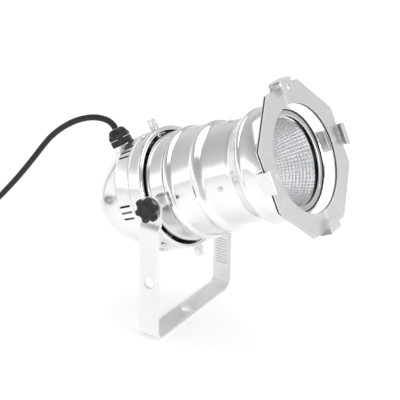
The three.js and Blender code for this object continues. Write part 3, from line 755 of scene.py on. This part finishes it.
def make_rivets():
    for angle in (0, 90, 180, 270):
        profile = [(0.05, 51, 0), (2.6, 51, 0), (2.6, 51.9, 0), (1.6, 51.9, 0), (1.6, 55.6, 0),
                   (2.9, 55.6, 0.3), (2.6, 56.5, 0.8), (1.5, 57.05, 0.8), (0.9, 57.1, 0.2),
                   (0.5, 56.6, 0.2), (0.05, 56.6, 0)]
        rivet = lathe(f"rivet_{angle}", profile, radial(80, angle), 32)
        finished(rivet, "barrel", ZINC, "zinc_steel", f"barrel_rivet_{angle}")


make_barrel()
make_inner_rings()
make_rivets()


# ---- frame clips and latch ---------------------------------------------------------------
# Middle of the clips' sheet: radius of foot and outer wall, stations of back wall and front lip.
FOOT_R, CROWN_R, WALL_S, LIP_S = 62.2, 80.1, 144.5, 159.5
FOOT_FROM = head_box("frame_clip_near")[0].z


def channel(lip):
    """Centre line of a clip: foot on the collar, back wall, outer wall and front lip."""
    return [(FOOT_R, FOOT_FROM, 0), (FOOT_R, WALL_S, 1.6), (CROWN_R, WALL_S, 2.2), (CROWN_R, LIP_S, 2.2),
            (CROWN_R - lip, LIP_S, 0)]


def make_clips():
    for name, angle in (("near", 90), ("far", 270)):
        clip = bent_sheet(f"clip_{name}", channel(8.0), 1.0, 11.5, HEAD @ turn(angle, "Z"), 2.0, 2.0)
        finished(clip, "barrel", SHEET_METAL, "satin_aluminium", f"frame_clip_{name}")
    clip = bent_sheet("clip_bottom", channel(15.0), 1.0, 10, HEAD @ turn(180, "Z"), 2.0, 10)
    finished(clip, "barrel", SHEET_METAL, "satin_aluminium", "frame_clip_bottom")


def make_latch():
    low, high = head_box("latch_flap")
    pin_y, pin_z = 80.6, 146.5
    foot = [(FOOT_R, FOOT_FROM, 0), (FOOT_R, WALL_S, 1.6), (78.6, WALL_S, 0)]
    base = bent_sheet("base_strip", foot, 1.0, 10, HEAD, 2.0, 1.0)
    wrap = []
    for n in range(19):
        a = math.radians(150 + 300 * n / 18)
        wrap.append((pin_y + 1.9 * math.cos(a), pin_z + 1.9 * math.sin(a), 0))
    curl = bent_sheet("base_curl", wrap, 0.9, 4.9, HEAD)
    pin_profile = [(0.05, -10, 0), (1.0, -10, 0.2), (1.0, 10, 0.2), (0.05, 10, 0)]
    pin = lathe("pin", pin_profile, HEAD @ slide(0, pin_y, pin_z) @ turn(90, "Y"), 24)
    foot_piece = joined("latch_foot", [base, curl, pin])
    finished(foot_piece, "barrel", SHEET_METAL, "satin_aluminium", "latch_base")
    top = high.y - 0.5
    line = [(top, 147.2, 0), (top, LIP_S, 2.2), (low.y + 0.2, LIP_S, 0)]
    plate = bent_sheet("flap_plate", line, 1.0, 10, HEAD, 0, 10)
    curls = []
    for side in (-1, 1):
        wrap = []
        for n in range(19):
            a = math.radians(-5 + 305 * n / 18)
            wrap.append((pin_y + 2.05 * math.cos(a), pin_z + 2.05 * math.sin(a), 0))
        curls.append(bent_sheet("flap_curl", wrap, 0.95, 2.3, HEAD @ slide(side * 7.65, 0, 0)))
    cover = joined("latch_cover", [plate, *curls])
    finished(cover, "latch_flap", SHEET_METAL, "satin_aluminium", "latch_flap")
    at = HEAD @ slide(0, 79.6 - 5.5, 160)
    profile = [(0.05, -2.2, 0), (2.4, -2.2, 0.2), (2.4, -1.3, 0), (1.5, -1.3, 0), (1.5, 0.05, 0),
               (3.0, 0.05, 0.2), (2.7, 0.9, 0.6), (1.4, 1.55, 0.6), (0.05, 1.7, 0)]
    finished(lathe("latch_button", profile, at, 32), "latch_flap", ZINC, "zinc_steel", "latch_rivet")


make_clips()
make_latch()


# ---- colour frame ------------------------------------------------------------------------
FLATS, OPENING = 150.8, 56.3


def octagon_edge(inset):
    step = math.pi / 4
    return lambda a: (FLATS / 2 - inset) / math.cos((a + step / 2) % step - step / 2)


def frame_plate(name, z0, z1):
    """Octagonal sheet with a round opening and slightly eased edges."""
    e = 0.18
    eased, full = octagon_edge(e), octagon_edge(0)
    levels = [(eased, z0), (full, z0 + e), (full, z1 - e), (eased, z1), (OPENING + e, z1),
              (OPENING, z1 - e), (OPENING, z0 + e), (OPENING + e, z0)]
    rows = [circle_row(radius, z, 192) for radius, z in levels]
    return grid(name, rows, HEAD, closed=True)


def make_colour_frame():
    low, high = head_box("gel_frame_front")
    front = frame_plate("frame_plate_front", low.z, high.z)
    finished(front, "barrel", SHEET_METAL, "satin_aluminium", "gel_frame_front")
    low_z = 149.4  # rear face of the rear plate
    back_plate = frame_plate("frame_plate_rear", low_z, low_z + 1.0)
    hems = []
    for angle in (-45, 135):
        line = [(FLATS / 2 - 0.5, low_z + 0.4, 0), (FLATS / 2 - 0.5, low_z + 2.4, 0)]
        hems.append(bent_sheet("hem", line, 1.0, 26, HEAD @ turn(angle, "Z"), 0.5, 0.5))
    tip = FLATS / 2 / math.cos(math.pi / 8)
    fold = math.radians(50)
    reach = 9.0
    line = [(tip - 4.5, low_z + 0.5, 0), (tip - 2.2, low_z + 0.5, 1.2),
            (tip - 2.2 + reach * math.cos(fold), low_z + 0.5 - reach * math.sin(fold), 0)]
    tab = bent_sheet("tab", line, 0.9, 5.0, HEAD @ turn(180 - 22.5, "Z"), 0.5, 4.2)
    back = joined("frame_plate_back", [back_plate, *hems, tab])
    finished(back, "barrel", SHEET_METAL, "satin_aluminium", "gel_frame_back")


make_colour_frame()


# ---- rear cap ----------------------------------------------------------------------------
DOME_TOP, DOME_FOOT, DOME_R = -119.0, -48.4, 64.6
CAP_R = 67.0
RIM = -9.0


def dome_line():
    """Spun dome, a little more pointed than an ellipse, from its crown to the score line."""
    line = []
    count = 44
    for n in range(count):
        t = math.cos(math.pi / 2 * n / count)
        r = DOME_R * (1 - t ** 1.05) ** (1 / 2.2)
        line.append(Vector((r, DOME_FOOT + (DOME_TOP - DOME_FOOT) * t)))
    line[0].x = 0.0
    return line


def make_cap():
    skirt = [
        (64.6, DOME_FOOT, 0.1), (64.25, -48.0, 0.1), (65.0, -47.5, 0.2), (65.25, -46, 0), (66.65, -31, 0),
        (66.9, -27.6, 0.1), (66.5, -27.1, 0.1), (CAP_R, -26.6, 0.2), (CAP_R, RIM - 5, 0.6),
        (CAP_R + 0.6, RIM - 3.4, 1.0), (CAP_R + 0.6, RIM - 1.2, 1.0), (CAP_R - 0.6, RIM, 0.9),
        (63.6, RIM - 0.2, 0.5), (62.7, RIM - 1.2, 0),
    ]
    line = dome_line() + rounded(skirt, 3)
    slots = []
    for group in range(6):
        middle = 60 + 30 * group
        for column in (middle - 3, middle, middle + 3):
            slots.append((column % SHELL_COLUMNS, column % SHELL_COLUMNS, -46.2, -30.8))
    cap = shell("cap_shell", line, WALL, SHELL_COLUMNS, slots)
    finished(cap, "rear_cap", POLISHED, "polished_aluminium", "rear_cap")


make_cap()


# ---- thumb screws ------------------------------------------------------------------------
def make_thumb_screws():
    station = -17.5
    for name, angle in (("top", 0), ("bottom", 180)):
        at = radial(station, angle)

        def knurl(inset):
            return lambda a: 5.5 - inset - 0.22 * (1 + math.cos(36 * a))

        rows = [circle_row(r, z, 216) for r, z in (
            (0.05, 51.5), (2.0, 51.5), (2.5, 52.1), (2.5, 68.7), (4.6, 68.7), (4.9, 69.0), (4.9, 69.9),
            (knurl(0.5), 70.0), (knurl(0), 70.5), (knurl(0), 78.4), (knurl(0.6), 79.1), (4.4, 79.3),
            (3.2, 79.35), (2.9, 79.0), (2.8, 77.6), (0.05, 77.6))]
        screw = grid(f"thumb_head_{name}", rows, at)
        finished(screw, f"thumb_screw_{name}", TURNED_METAL, "zinc_steel", f"thumb_screw_{name}")
        washer = washer_shape(f"thumb_disc_{name}", 2.8, 4.9, 67.35, 68.25, at)
        finished(washer, f"thumb_washer_{name}", ZINC, "zinc_steel", f"thumb_washer_{name}")
        spacer = washer_shape(f"cap_spacer_{name}", 2.8, 4.6, 60.35, 65.2, at)
        finished(spacer, "rear_cap", SHEET_METAL, "satin_aluminium", f"cap_standoff_{name}")


make_thumb_screws()


# ---- pivots and star knobs ---------------------------------------------------------------
def star(inset):
    """Six blunt lobes with rounded valleys."""
    def radius(a):
        wave = math.tanh(1.9 * math.cos(6 * a)) / math.tanh(1.9)
        return 12.35 + 1.6 * wave - inset
    return radius


def make_pivots():
    for name, degrees in (("near", 180), ("far", 0)):
        at = HEAD @ turn(degrees, "Z") @ turn(90, "Y")
        rows = [circle_row(r, z, 192) for r, z in (
            (3.3, 73.3), (7.0, 73.3), (8.6, 74.2), (9.4, 75.6), (star(1.6), 75.7), (star(0.7), 75.95),
            (star(0.15), 76.6), (star(0), 77.4), (star(0), 81.0), (star(0.15), 81.8), (star(0.7), 82.5),
            (star(1.6), 82.8), (9.4, 82.75), (9.0, 83.3), (8.4, 83.8), (7.4, 84.0), (6.2, 83.95),
            (5.6, 83.6), (5.3, 83.3), (0.3, 83.3))]
        knob = grid(f"knob_{name}", rows, at, sharp=40)
        finished(knob, f"star_knob_{name}", BLACK_PLASTIC, "black_plastic", f"star_knob_{name}")
        washer = washer_shape(f"knob_disc_{name}", 3.3, 8, 71.85, 72.95, at, 0.25)
        finished(washer, f"knob_washer_{name}", ZINC, "zinc_steel", f"knob_washer_{name}")
        profile = [(0.05, 55, 0), (6, 55, 0), (6, 58, 0), (3, 58, 0), (3, 73.0, 0.3), (0.05, 73.0, 0)]
        stud = lathe(f"stud_{name}", profile, at, 48)
        finished(stud, "barrel", ZINC, "zinc_steel", f"pivot_stud_{name}")


make_pivots()


# ---- cable gland -------------------------------------------------------------------------
def hexagon(flats, cap):
    """Hexagon whose corners are turned down to a circle of radius cap."""
    step = math.pi / 3
    return lambda a: min(flats / 2 / math.cos((a + step / 2) % step - step / 2), cap)


def make_gland():
    flats = 22.0
    tall = flats / 2 / math.cos(math.pi / 6)
    rows = [circle_row(r, z, 144) for r, z in (
        (4.4, -14), (7.9, -14), (7.9, 0), (hexagon(flats, tall - 1.0), 0.05),
        (hexagon(flats, tall - 0.2), 0.7), (hexagon(flats, tall), 1.4), (hexagon(flats, tall), 5.6),
        (hexagon(flats, tall - 0.2), 6.3), (hexagon(flats, tall - 1.0), 6.95), (8.0, 6.95), (4.4, 6.95))]
    base = grid("gland_base", rows, GLAND, closed=True)
    finished(base, "rear_cap", BLACK_PLASTIC, "black_plastic", "gland_body")
    rows = [circle_row(r, z, 144) for r, z in (
        (7.2, 7.35), (hexagon(flats, tall - 1.0), 7.35), (hexagon(flats, tall - 0.2), 8.0),
        (hexagon(flats, tall), 8.7), (hexagon(flats, tall), 11.2), (hexagon(flats, tall - 0.4), 12.0),
        (hexagon(flats - 0.6, tall - 1.4), 12.6), (10.5, 12.9), (10.35, 14.2), (9.9, 15.6), (9.0, 17.0),
        (7.8, 18.1), (6.6, 18.8), (5.6, 19.0), (4.9, 18.8), (4.3, 18.2), (4.1, 16.5), (7.0, 14), (7.2, 9))]
    nut = grid("gland_top", rows, GLAND, closed=True)
    finished(nut, "rear_cap", BLACK_PLASTIC, "black_plastic", "gland_nut")
    NODES["gland_seat"].data.materials.clear()
    NODES["gland_seat"].data.materials.append(POLISHED)


make_gland()


# ---- lamp --------------------------------------------------------------------------------
def bowl_radius(s):
    """Inner line of the lamp's reflector, a paraboloid that opens to the rim."""
    return 45.6 * math.sqrt(max((s - 60) / (131.4 - 60), 0.0))


def make_reflector():
    """Glass bowl lined with small pillow-shaped mirror facets in rings."""
    draw = random.Random(11)
    columns, rings = 72, 20
    first, last = 66.0, 131.2
    rows = []
    for i in range(2 * rings + 1):
        share = i / (2 * rings)
        s = first + (last - first) * share ** 1.15
        row = []
        for k in range(2 * columns):
            a = 2 * math.pi * k / (2 * columns)
            pillow = 0.62 if i % 2 and k % 2 else 0.0
            lift = pillow * (0.75 + 0.5 * draw.random())
            r = bowl_radius(s) - lift
            row.append((r * math.cos(a), r * math.sin(a), s + lift * 0.35))
        rows.append(row)
    outer = [(46.9, 131.5), (47.4, 130.5), (47.4, 124.5), (45.8, 118), (41.8, 104), (35.8, 90), (28.8, 76),
             (21.8, 64.2), (17.3, 54), (15.8, 46.2), (3.0, 46.1), (3.0, 62.0), (12.0, 64.0)]
    rows += [circle_row(r, z, 2 * columns) for r, z in outer]
    bowl = grid("lamp_bowl", rows, HEAD, closed=True, sharp=60)
    mesh = bowl.data
    sharp = mesh.attributes.get("sharp_edge") or mesh.attributes.new("sharp_edge", "BOOLEAN", "EDGE")
    width = 2 * columns
    for edge in mesh.edges:
        a, b = sorted(edge.vertices)
        i, j = a // width, b // width
        if max(i, j) <= 2 * rings:
            along_ring = i == j and i % 2 == 0
            across = i != j and (a % width) % 2 == 0 and (a % width) == (b % width)
            if along_ring or across:
                sharp.data[edge.index].value = True
    finished(bowl, "lamp", FACETS, "lamp_mirror", "lamp_reflector")


def make_lens():
    profile = [(0.3, 133.4, 0), (30, 132.9, 6), (44.5, 132.0, 1.5), (47.4, 132.0, 0.3), (47.4, 133.2, 0.4),
               (45.4, 134.0, 1.0), (30, 134.5, 6), (0.3, 135.1, 0)]
    finished(lathe("lamp_cover", profile, HEAD, 144, 6), "lamp", GLASS, "lamp_glass", "lamp_lens")
    profile = [(0.3, 64.2, 0), (4.2, 64.2, 1), (5.4, 67, 1.5), (5.4, 83.5, 1.5), (3.6, 88, 1.5),
               (1.2, 89.6, 0.6), (0.3, 89.8, 0)]
    finished(lathe("lamp_burner", profile, HEAD, 48, 5), "lamp", GLASS, "lamp_glass", "lamp_capsule")


make_reflector()
make_lens()


# ---- screws of the lampholder bracket ------------------------------------------------------
def make_bracket_screws():
    for angle in (15, 135, 255):
        profile = [(0.05, 61, 0), (1.9, 61, 0.2), (1.9, 67.3, 0), (3.6, 67.3, 0.1), (3.5, 68.0, 0.4),
                   (2.6, 68.9, 0.6), (1.3, 69.15, 0.3), (1.0, 68.5, 0.1), (0.05, 68.5, 0)]
        screw = lathe(f"cap_screw_{angle}", profile, radial(-22.5, angle), 36)
        finished(screw, "rear_cap", ZINC, "zinc_steel", f"bracket_screw_{angle}")


make_bracket_screws()


# ---- CAD nodes that stay -------------------------------------------------------------------
KEPT = {
    "steatite": STEATITE, "brass": BRASS, "zinc_steel": ZINC, "satin_aluminium": SHEET_METAL,
    "black_plastic": BLACK_PLASTIC, "black_rubber": RUBBER, "wire_brown": BROWN, "wire_blue": BLUE,
    "wire_green": GREEN, "lamp_glass": GLASS, "lamp_mirror": FACETS, "polished_aluminium": POLISHED,
    "label_film": LABEL,
}
KEPT_SLOTS = {s["node"]: s["material_slot"] for s in frame["record"]["subparts"]}
for name, node in NODES.items():
    if node.hide_render or name == "gland_seat":
        continue
    node.data.materials.clear()
    node.data.materials.append(KEPT[KEPT_SLOTS[name]])
    shaded(node.data, 30)


# ---- studio --------------------------------------------------------------------------------
def make_floor():
    size = 12000.0
    mesh = bpy.data.meshes.new("floor")
    corners = [Vector((x * size, y * size, -0.2)) * MM for x, y in ((-1, -1), (1, -1), (1, 1), (-1, 1))]
    mesh.from_pydata(corners, [], [(0, 1, 2, 3)])
    floor = bpy.data.objects.new("floor", mesh)
    bpy.context.scene.collection.objects.link(floor)
    mesh.materials.append(floor_look())


def make_light(name, place, size, power, tone=(1, 1, 1)):
    data = bpy.data.lights.new(name, "AREA")
    data.shape = "RECTANGLE"
    data.size, data.size_y = size
    data.energy = power
    data.color = tone
    light = bpy.data.objects.new(name, data)
    light.location = PIVOT + Vector(place)
    light.rotation_mode = "QUATERNION"
    light.rotation_quaternion = (-Vector(place)).to_track_quat("-Z", "Y")
    bpy.context.scene.collection.objects.link(light)


def make_world():
    """Even studio surround, brightest low down on the camera's left and greyer overhead."""
    world = bpy.data.worlds.new("studio")
    bpy.context.scene.world = world
    world.use_nodes = True
    nodes, links = world.node_tree.nodes, world.node_tree.links
    direction = nodes.new("ShaderNodeTexCoord").outputs["Generated"]
    split = nodes.new("ShaderNodeSeparateXYZ")
    links.new(direction, split.inputs[0])

    def ramp(source, stops):
        made = nodes.new("ShaderNodeValToRGB")
        links.new(source, made.inputs[0])
        elements = made.color_ramp.elements
        elements.remove(elements[1])
        for i, (at, level) in enumerate(stops):
            element = elements[0] if i == 0 else elements.new(at)
            element.position = at
            element.color = (level, level, level, 1)
        return made.outputs[0]

    def combine(operation, a, b):
        made = nodes.new("ShaderNodeMath")
        made.operation = operation
        for socket, value in zip(made.inputs, (a, b)):
            if isinstance(value, bpy.types.NodeSocket):
                links.new(value, socket)
            else:
                socket.default_value = value
        return made.outputs[0]

    toward = nodes.new("ShaderNodeVectorMath")
    toward.operation = "DOT_PRODUCT"
    links.new(direction, toward.inputs[0])
    toward.inputs[1].default_value = (-0.78, 0.62, 0.0)
    levels = [(0.0, 0.50), (0.03, 0.66), (0.10, 0.74), (0.32, 0.70), (0.60, 0.50), (1.0, 0.42)]
    height = ramp(split.outputs[2], levels)
    low_band = ramp(split.outputs[2], [(0.0, 0.55), (0.02, 1.0), (0.16, 0.9), (0.30, 0.0)])
    side = ramp(toward.outputs["Value"], [(0.35, 0.0), (0.80, 1.0)])
    glow = combine("MULTIPLY", combine("MULTIPLY", low_band, side), 0.85)
    links.new(combine("ADD", height, glow), nodes["Background"].inputs["Color"])
    nodes["Background"].inputs["Strength"].default_value = 1.0


make_floor()
make_world()
make_light("overhead", (0.3, 0.2, 2.3), (2.9, 2.9), 34)
make_light("front_fill", (-0.3, -2.0, 1.0), (1.3, 0.9), 16)
bpy.context.scene.view_settings.view_transform = "Standard"
